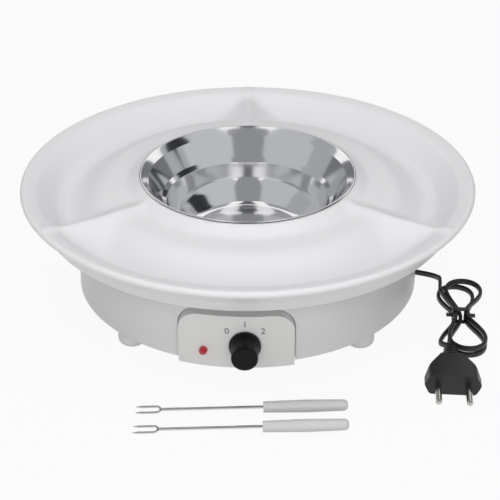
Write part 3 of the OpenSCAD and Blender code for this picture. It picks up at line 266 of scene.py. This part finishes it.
cord = tube("mains_cord", cord_path, cord_section)
cord.data.materials.append(sheath)
cord.data.polygons.foreach_set("use_smooth", [True] * len(cord.data.polygons))
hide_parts("cord_lead", "cord_hank", "cord_tail")
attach(cord, "base")


# Base. The housing, its bottom cover and the panel are moulded ABS: the housing polished,
# the panel satin. The cover is screwed on from below, one screw deep in each foot, and the
# panel is held from inside by two screws.
def dress(node, made):
    """Gives a node of the model its finish."""
    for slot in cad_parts[node].material_slots:
        slot.material = made


GLOSS_SPREAD = 0.2


def finish(name, colour, rough, grain, depth, **more):
    """A finish whose gloss and surface waver by a fine noise of the grain's size in metres."""
    made, tree, shader, place = new_finish(name)
    noise = add_node(tree, "ShaderNodeTexNoise", {"Scale": 1 / grain, "Detail": 3}, {"Vector": place})
    gloss = add_node(
        tree, "ShaderNodeMapRange",
        {"To Min": rough * (1 - GLOSS_SPREAD), "To Max": rough * (1 + GLOSS_SPREAD)},
        {"Value": noise.outputs["Fac"]},
    )
    bump = add_node(tree, "ShaderNodeBump", {"Distance": depth}, {"Height": noise.outputs["Fac"]})
    shader.inputs["Base Color"].default_value = linear(colour)
    for socket, value in more.items():
        shader.inputs[socket.replace("_", " ")].default_value = value
    tree.links.new(gloss.outputs["Result"], shader.inputs["Roughness"])
    tree.links.new(bump.outputs["Normal"], shader.inputs["Normal"])
    return made


# Moulded ABS: the polished parts shine softly through a faint orange peel, about a
# millimetre wide, and the satin panel is duller and finer. The feet's rubber is matt.
abs_polished = finish("abs_polished_pale_grey", "dcdcdb", 0.32, 0.0012, 0.000004)
abs_satin = finish("abs_satin_pale_grey", "dfdfdd", 0.42, 0.0005, 0.000004)
dress("housing", abs_polished)
dress("bottom_cover", abs_polished)
dress("control_panel", abs_satin)
dress("foot_pads", finish("rubber_moulded_black", "2a2a2a", 0.7, 0.0004, 0.00001))

# Screws are zinc plated: a bluish bright metal with the plating's fine unevenness.
zinc = finish("steel_zinc_plated", "b4b5b8", 0.3, 0.0003, 0.000003, Metallic=1)
for node in ("cover_screws", "panel_screws", "heater_screws", "thermostat_screws", "clamp_screws"):
    dress(node, zinc)

# Inside. The heating plate is turned aluminium on a mica element, felt and a pressed steel
# clamping plate. Thermostat, fuse, switch and terminal block stand round it. Each row has
# the nodes, finish, colour, roughness, grain and depth in metres, and whether it is metal.
INSIDE = [
    (("heating_plate",), "aluminium_turned_bare", "c9cacc", 0.28, 0.0004, 0.000004, 1),
    (("clamping_plate", "fuse_strap"), "steel_zinc_pressed", "b0b2b4", 0.35, 0.0006, 0.000004, 1),
    (("switch_nut",), "nickel_plated_nut", "c8c5bd", 0.2, 0.0004, 0.000002, 1),
    (("switch_shaft",), "nickel_plated_shaft", "c8c5bd", 0.25, 0.0004, 0.000002, 1),
    (("heating_element",), "mica_sheet", "8a7048", 0.6, 0.0015, 0.00002, 0),
    (("heater_insulation",), "felt_mineral", "dcd6c8", 0.95, 0.0006, 0.00006, 0),
    (("thermostat",), "bakelite_brown", "33241c", 0.4, 0.0005, 0.000005, 0),
    (("thermal_fuse",), "glass_fibre_sleeve", "e2e0d4", 0.85, 0.0005, 0.00003, 0),
    (("rotary_switch", "cord_clamp"), "nylon_black", "26262a", 0.5, 0.0006, 0.000006, 0),
    (("terminal_block",), "nylon_cream", "dad6c4", 0.5, 0.0006, 0.000006, 0),
    (("indicator_board",), "resin_board_green", "2c6a3a", 0.5, 0.0004, 0.000006, 0),
    (("live_wires",), "pvc_wire_brown", "5a3520", 0.45, 0.0006, 0.000004, 0),
    (("neutral_wires",), "pvc_wire_blue", "1f4f9c", 0.45, 0.0006, 0.000004, 0),
    (("heater_wires",), "silicone_wire_white", "e0ded8", 0.55, 0.0006, 0.000004, 0),
]
for nodes, name, colour, rough, grain, depth, metallic in INSIDE:
    made = finish(name, colour, rough, grain, depth, Metallic=metallic)
    for node in nodes:
        dress(node, made)

# The cord's boot, its tie and the plug are the same satin PVC as the sheath. The plug's
# pins are nickel on brass, smooth and a little warm.
for node in ("cord_boot", "cord_inside", "cord_tie", "plug_body"):
    dress(node, sheath)
dress("plug_pins", finish("nickel_plated_brass", "c4c2bb", 0.18, 0.0005, 0.000002, Metallic=1))


# Tray. One moulding in near-white satin plastic: a dish round the bowl, split by three
# ridges that run softly into it, with a rolled rim and a flared outer wall. It is only set
# down on the base. Its half profile is spun, and the ridges then rise out of the dish.
def rounded(points, radii, steps):
    """The path with each inner corner rounded by its radius."""
    path = []
    for i, (corner, radius) in enumerate(zip(points, radii)):
        if radius == 0:
            path.append(Vector(corner))
            continue
        corner = Vector(corner)
        back = (Vector(points[i - 1]) - corner).normalized()
        ahead = (Vector(points[i + 1]) - corner).normalized()
        half = back.angle(ahead) / 2
        centre = corner + (back + ahead).normalized() * radius / math.sin(half)
        start = corner + back * radius / math.tan(half) - centre
        turn = (math.pi - 2 * half) * math.copysign(1, ahead.cross(back))
        for k in range(steps + 1):
            a = turn * k / steps
            path.append(centre + Vector((
                start.x * math.cos(a) - start.y * math.sin(a),
                start.x * math.sin(a) + start.y * math.cos(a),
            )))
    return path


def closer(path, longest):
    """The path with points added wherever a step is longer than that."""
    dense = [path[0]]
    for a, b in zip(path, path[1:]):
        parts = max(1, math.ceil((b - a).length / longest))
        dense += [a.lerp(b, k / parts) for k in range(1, parts + 1)]
    return dense


def beside(path, gap):
    """The path that runs at that distance to the left."""
    moved = []
    for i, point in enumerate(path):
        before = (path[max(i, 1)] - path[max(i, 1) - 1]).normalized()
        after = (path[min(i, len(path) - 2) + 1] - path[min(i, len(path) - 2)]).normalized()
        side = Vector((-before.y - after.y, before.x + after.x)) / 2
        moved.append(point + side * gap / side.dot(side))
    return moved


MERGE_WITHIN = 0.000002


def spun(name, path, steps):
    """A point, extruded along a chain of (radius, height) and spun about Z."""
    bpy.ops.object.select_all(action="DESELECT")
    bpy.ops.mesh.primitive_plane_add(size=0.01)
    piece = bpy.context.object
    piece.name = name
    bpy.ops.object.mode_set(mode="EDIT")
    bpy.ops.mesh.select_all(action="SELECT")
    bpy.ops.mesh.merge(type="CENTER")
    bpy.ops.transform.translate(value=(path[0].x, 0, path[0].y))
    for a, b in zip(path, path[1:]):
        step = (b.x - a.x, 0, b.y - a.y)
        bpy.ops.mesh.extrude_vertices_move(TRANSFORM_OT_translate={"value": step})
    bpy.ops.mesh.select_all(action="SELECT")
    bpy.ops.mesh.spin(steps=steps, angle=2 * math.pi, center=(0, 0, 0), axis=(0, 0, 1))
    bpy.ops.mesh.select_all(action="SELECT")
    bpy.ops.mesh.remove_doubles(threshold=MERGE_WITHIN)
    bpy.ops.mesh.normals_make_consistent(inside=False)
    bpy.ops.object.mode_set(mode="OBJECT")
    return piece


def smooth(piece, degrees):
    """Smooth shading, with edges kept where faces meet at more than that angle."""
    bpy.ops.object.select_all(action="DESELECT")
    piece.select_set(True)
    bpy.context.view_layer.objects.active = piece
    bpy.ops.object.shade_smooth_by_angle(angle=math.radians(degrees))


RIM_Z = 0.084
TRAY_R = 0.15
TRAY_WALL = 0.0022
RIM_ROLL, ROLL_STEPS = 0.0023, 12
COLLAR_R, COLLAR_Z, COLLAR_FALL = 0.099, 0.0802, math.tan(math.radians(2))
FLOOR_IN_R, FLOOR_OUT_R, FLOOR_Z = 0.117, 0.125, 0.068
SLEEVE_R, DECK_Z = 0.068, 0.0552
TURN_UP_R, TURN_UP_FOOT, TURN_UP_Z = 0.0709, 0.08, 0.08665
LIP_SLOPE = 0.9038
FLARE_WIDE, FLARE_ANGLE = 0.008, math.radians(100)
SKIRT_STRAIGHT, SKIRT_ANGLE = 0.009, math.radians(-43)
SKIRT_END = (0.1366, 0.0637)
TOP_FILLETS = (0, 0, 0.0004, 0.012, 0.02, 0.0112, 0.0088, 0.008, 0)
SIDE_FILLETS = (0, 0.02, 0)
TOP_STEPS, SIDE_FILLET_STEPS = 6, 4
TRAY_STEP = 0.004
TRAY_TURNS = 600

rim_centre = Vector((TRAY_R - RIM_ROLL, RIM_Z - RIM_ROLL))
roll = []
for part in range(ROLL_STEPS + 1):
    a = FLARE_ANGLE + (SKIRT_ANGLE - FLARE_ANGLE) * part / ROLL_STEPS
    roll.append(rim_centre + RIM_ROLL * Vector((math.cos(a), math.sin(a))))
flare = Vector((-math.sin(FLARE_ANGLE), math.cos(FLARE_ANGLE))) * FLARE_WIDE
skirt = Vector((math.sin(SKIRT_ANGLE), -math.cos(SKIRT_ANGLE))) * SKIRT_STRAIGHT
top_corners = [
    (SLEEVE_R, DECK_Z),
    (SLEEVE_R, TURN_UP_Z - (TURN_UP_R - SLEEVE_R) * LIP_SLOPE),
    (TURN_UP_R, TURN_UP_Z),
    (TURN_UP_FOOT, COLLAR_Z + (COLLAR_R - TURN_UP_FOOT) * COLLAR_FALL),
    (COLLAR_R, COLLAR_Z),
    (FLOOR_IN_R, FLOOR_Z),
    (FLOOR_OUT_R, FLOOR_Z),
    roll[0] + flare,
    roll[0],
]
side_corners = [roll[-1], roll[-1] + skirt, SKIRT_END]
top_path = rounded(top_corners, TOP_FILLETS, TOP_STEPS)
side_path = rounded(side_corners, SIDE_FILLETS, SIDE_FILLET_STEPS)
tray_path = closer(top_path + roll[1:] + side_path[1:], TRAY_STEP)
under_path = beside(tray_path, -TRAY_WALL)[::-1]
tray = spun("serving_tray", tray_path + under_path + [tray_path[0]], TRAY_TURNS)

# The ridges: roof-like, with a rounded crest at one height, 120 degrees apart.
RIDGE_TOP = 0.082
RIDGE_SLOPE = 0.75
RIDGE_ROUND = 0.0016
RIDGE_BLEND = 0.007
RIDGE_APART = 2 * math.pi / 3
TRAY_TURN = math.radians(90.6)
dish = [p for p in tray_path if TURN_UP_R < p.x <= roll[0].x and p.y > FLOOR_Z - TRAY_WALL / 2]


def dish_height(radius):
    """The height of the dish's upper side at a radius, and 0 where there is no dish."""
    for p, q in zip(dish, dish[1:]):
        if p.x <= radius <= q.x:
            return p.y + (q.y - p.y) * (radius - p.x) / (q.x - p.x)
    return 0


# Each ridge rises out of the dish and meets it in a fillet as wide as the blend.
for vertex in tray.data.vertices:
    x, y, z = vertex.co
    radius = math.hypot(x, y)
    if abs(z - dish_height(radius)) > TRAY_WALL / 4:
        continue
    around = (math.atan2(y, x) - TRAY_TURN + RIDGE_APART / 2) % RIDGE_APART - RIDGE_APART / 2
    across = radius * math.sin(around)
    ridge = RIDGE_TOP - math.hypot(across * RIDGE_SLOPE, RIDGE_ROUND) + RIDGE_ROUND
    near = max(RIDGE_BLEND - abs(ridge - z), 0)
    vertex.co.z = max(ridge, z) + near * near / (4 * RIDGE_BLEND)
smooth(tray, 50)

# Moulded polypropylene: near white, with a satin bloom that spreads the highlights.
tray_white = finish("pp_satin_near_white", "e6e6e8", 0.38, 0.0009, 0.000004)
tray.data.materials.append(tray_white)
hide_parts("tray")
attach(tray, "tray_group")


# Bowl. Pressed stainless steel, mirror polished: a flared lip, a ledge part way down and a
# flat bottom that rests on the heating plate. It hangs in the tray's sleeve.
BOWL_WALL = 0.0008
BOWL_Z, BOWL_TOP = 0.0418, 0.0884
FLAT_R = 0.038
CURVE_END = (0.05, 0.0543)
LEDGE_IN = (0.0543, 0.0678)
LEDGE_OUT = (0.0571, 0.0706)
MOUTH = (0.0657, 0.0837)
LIP_TOP_R = 0.0709
LIP_END = (0.0717, 0.0876)
BOWL_FILLETS = (0, 0.008, 0.016, 0.0012, 0.0024, 0.001, 0.001, 0)
BOWL_FILLET_STEPS = 10
BOWL_STEP = 0.003
BOWL_TURNS = 256
bowl_corners = [
    (0, BOWL_Z + BOWL_WALL), (FLAT_R, BOWL_Z + BOWL_WALL), CURVE_END, LEDGE_IN,
    LEDGE_OUT, MOUTH, (LIP_TOP_R, BOWL_TOP), LIP_END,
]
bowl_inside = closer(rounded(bowl_corners, BOWL_FILLETS, BOWL_FILLET_STEPS), BOWL_STEP)
bowl_outside = beside(bowl_inside, -BOWL_WALL)[::-1]
bowl_outside[-1].x = 0
bowl = spun("steel_bowl", bowl_inside + bowl_outside, BOWL_TURNS)
smooth(bowl, 40)

# Polished stainless steel mirrors the studio. The polish leaves hair-fine rings, drawn
# coarser than they are, that only shimmer, and a faint haze that softens the mirror.
polish, tree, shader, place = new_finish("stainless_steel_mirror_polished")
rings = add_node(
    tree, "ShaderNodeTexWave",
    {"wave_type": "RINGS", "rings_direction": "Z", "Scale": 600, "Distortion": 1.5}, {"Vector": place},
)
haze = add_node(tree, "ShaderNodeTexNoise", {"Scale": 90, "Detail": 3}, {"Vector": place})
gloss = add_node(
    tree, "ShaderNodeMapRange", {"To Min": 0.09, "To Max": 0.14}, {"Value": haze.outputs["Fac"]},
)
bump = add_node(tree, "ShaderNodeBump", {"Distance": 0.0000003}, {"Height": rings.outputs["Fac"]})
shader.inputs["Base Color"].default_value = linear("f0f0f1")
shader.inputs["Metallic"].default_value = 1
tree.links.new(gloss.outputs["Result"], shader.inputs["Roughness"])
tree.links.new(bump.outputs["Normal"], shader.inputs["Normal"])
bowl.data.materials.append(polish)
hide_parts("bowl")
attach(bowl, "bowl_group")


# Knob and indicator. The knob is moulded in black satin ABS and pressed on the switch's
# shaft. The indicator is a red tinted resin lens, glossy, that glows a little over its lamp.
dress("knob", finish("abs_satin_black", "070708", 0.5, 0.0004, 0.000005, Specular_IOR_Level=0.2))
lens = finish("resin_red_tinted", "9c0e18", 0.12, 0.0008, 0.000002, Coat_Weight=0.5)
lens_shader = lens.node_tree.nodes["Principled BSDF"]
lens_shader.inputs["Emission Color"].default_value = linear("e02024")
lens_shader.inputs["Emission Strength"].default_value = 0.12
dress("indicator_lens", lens)


# Dial marks. Plain digits are printed on the panel in dark grey ink, a thin dull film,
# round the knob where its pointer stands at each limit and in the middle.
ink = finish("pad_printed_ink_grey", "4a4a4c", 0.5, 0.0003, 0.000001)
PANEL_R = 0.1195
KNOB_Z = 0.0288
DIGIT_RING = 0.0145
DIGIT_SIZE = 0.006
INK_STEP = 0.00003
for digit, degrees in (("0", 50), ("1", 0), ("2", -50)):
    turn = math.radians(degrees)
    aside = -DIGIT_RING * math.sin(turn) / PANEL_R
    bpy.ops.object.select_all(action="DESELECT")
    bpy.ops.object.text_add()
    mark = bpy.context.object
    mark.name = "dial_digit_" + digit
    mark.data.body = digit
    mark.data.size = DIGIT_SIZE
    mark.data.extrude = INK_STEP
    mark.data.align_x = "CENTER"
    mark.data.align_y = "CENTER"
    bpy.ops.object.convert(target="MESH")
    mark.rotation_euler = (math.pi / 2, 0, aside)
    mark.location = (
        PANEL_R * math.sin(aside), -PANEL_R * math.cos(aside), KNOB_Z + DIGIT_RING * math.cos(turn),
    )
    bpy.ops.object.transform_apply(location=True, rotation=True, scale=True)
    mark.data.materials.append(ink)
    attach(mark, "base")


# Forks. Two-pronged blades of polished stainless steel are moulded into handles of
# off-white ABS, glossier than the tray. Both lie loose on the table.
fork_steel = finish("stainless_steel_polished", "d2d2d4", 0.18, 0.0006, 0.000002, Metallic=1)
handle_white = finish("abs_polished_off_white", "cacaca", 0.3, 0.001, 0.000004)
for number in ("1", "2"):
    dress("fork_" + number, fork_steel)
    dress("fork_" + number + "_handle", handle_white)


# Floor. A wide level sheet of matt pale paper that fills the view, with the object's soft
# shadow on it. To the camera and to mirrors it is nearly white by itself.
def seen_directly(tree):
    """1 for camera, glossy and transmission rays, and 0 for the light that falls on things."""
    rays = add_node(tree, "ShaderNodeLightPath", {}, {})
    total = rays.outputs["Is Camera Ray"]
    for kind in ("Is Glossy Ray", "Is Transmission Ray"):
        total = add_node(
            tree, "ShaderNodeMath",
            {"operation": "ADD", "use_clamp": True}, {0: total, 1: rays.outputs[kind]},
        ).outputs["Value"]
    return total


FLOOR_SIZE = 8
bpy.ops.object.select_all(action="DESELECT")
bpy.ops.mesh.primitive_plane_add(size=FLOOR_SIZE)
floor = bpy.context.object
floor.name = "floor"
paper, tree, shader, place = new_finish("white_paper_matt")
grain = add_node(tree, "ShaderNodeTexNoise", {"Scale": 400, "Detail": 3}, {"Vector": place})
fibre = add_node(
    tree, "ShaderNodeBump",
    {"Strength": 0.05, "Distance": 0.0002}, {"Height": grain.outputs["Fac"]},
)
shader.inputs["Base Color"].default_value = linear("c8c8c8")
shader.inputs["Roughness"].default_value = 0.9
shader.inputs["Specular IOR Level"].default_value = 0.1
tree.links.new(fibre.outputs["Normal"], shader.inputs["Normal"])
FLOOR_GLOW = 0.93
share = add_node(
    tree, "ShaderNodeMath",
    {"operation": "MULTIPLY", 1: FLOOR_GLOW}, {0: seen_directly(tree)},
)
glow = add_node(tree, "ShaderNodeEmission", {"Color": (1, 1, 1, 1), "Strength": 1.0}, {})
mix = add_node(
    tree, "ShaderNodeMixShader", {},
    {0: share.outputs["Value"], 1: shader.outputs["BSDF"], 2: glow.outputs["Emission"]},
)
tree.links.new(mix.outputs["Shader"], tree.nodes["Material Output"].inputs["Surface"])
floor.data.materials.append(paper)


# World. It lights the object at a plain, lower level, and shows as white.
world = bpy.data.worlds.new("studio")
bpy.context.scene.world = world
world.use_nodes = True
tree = world.node_tree
level = add_node(
    tree, "ShaderNodeMapRange", {"To Min": 0.38, "To Max": 1.0}, {"Value": seen_directly(tree)},
)
back = tree.nodes["Background"]
back.inputs["Color"].default_value = (1, 1, 1, 1)
tree.links.new(level.outputs["Result"], back.inputs["Strength"])


# Cards. The bowl mirrors the studio: dark and grey panels that only mirrors see. Each has
# its azimuth and rise in degrees, its distance and size in metres, and its colour.
CARDS = [
    ("card_dark_front", -90, 45, 1.6, (0.9, 2.0), "909294"),
    ("card_grey_left", -151, 40, 1.7, (2.4, 2.0), "bcbec0"),
    ("card_grey_far_left", 165, 30, 1.8, (1.2, 1.4), "a6a8aa"),
    ("card_grey_right", -29, 40, 1.7, (2.4, 2.0), "c2c4c6"),
    ("card_grey_far_right", 15, 30, 1.8, (1.2, 1.4), "acaeb0"),
    ("card_dark_above", 90, 85, 2.0, (0.34, 1.6), "5a5c60"),
    ("card_grey_above_left", 170, 60, 2.0, (1.8, 1.0), "9a9c9e"),
    ("card_grey_above_right", 10, 60, 2.0, (1.8, 1.0), "a0a2a4"),
    ("card_dark_behind", 90, 25, 1.6, (0.3, 1.0), "55575b"),
    ("card_black_right", 18, 40, 1.5, (0.55, 0.75), "2c2e30"),
    ("card_low_behind_left", 122, 14, 0.7, (0.75, 0.34), "74767a"),
    ("card_low_behind_right", 58, 14, 0.7, (0.75, 0.34), "74767a"),
]
for name, azimuth, rise, reach, size, colour in CARDS:
    azimuth, rise = math.radians(azimuth), math.radians(rise)
    level_out = reach * math.cos(rise)
    bpy.ops.object.select_all(action="DESELECT")
    bpy.ops.mesh.primitive_plane_add(
        size=1,
        location=(
            level_out * math.cos(azimuth), level_out * math.sin(azimuth), reach * math.sin(rise),
        ),
        rotation=(math.pi / 2 - rise, 0, azimuth + math.pi / 2),
    )
    card = bpy.context.object
    card.name = name
    card.scale = (*size, 1)
    made, tree, shader, place = new_finish("studio_" + name)
    plain = add_node(tree, "ShaderNodeEmission", {"Color": linear(colour), "Strength": 1.0}, {})
    tree.links.new(plain.outputs["Emission"], tree.nodes["Material Output"].inputs["Surface"])
    card.data.materials.append(made)
    card.visible_camera = False
    card.visible_diffuse = False
    card.visible_shadow = False
    card.visible_transmission = False


# Lamps. Two large soft boxes, one overhead and one in front, both out of the mirrors'
# sight. Each has its place, turn, size in metres and power in watts.
LAMPS = [
    ("softbox_top", (0, -0.15, 1.33), (math.radians(6.5), 0, 0), 1.1, 7.2),
    ("softbox_front", (0, -1.25, 0.55), (math.radians(66), 0, 0), 0.9, 7.5),
]
for name, where, turn, size, power in LAMPS:
    bpy.ops.object.light_add(type="AREA", location=where, rotation=turn)
    lamp = bpy.context.object
    lamp.name = name
    lamp.data.size = size
    lamp.data.energy = power
    lamp.visible_glossy = False
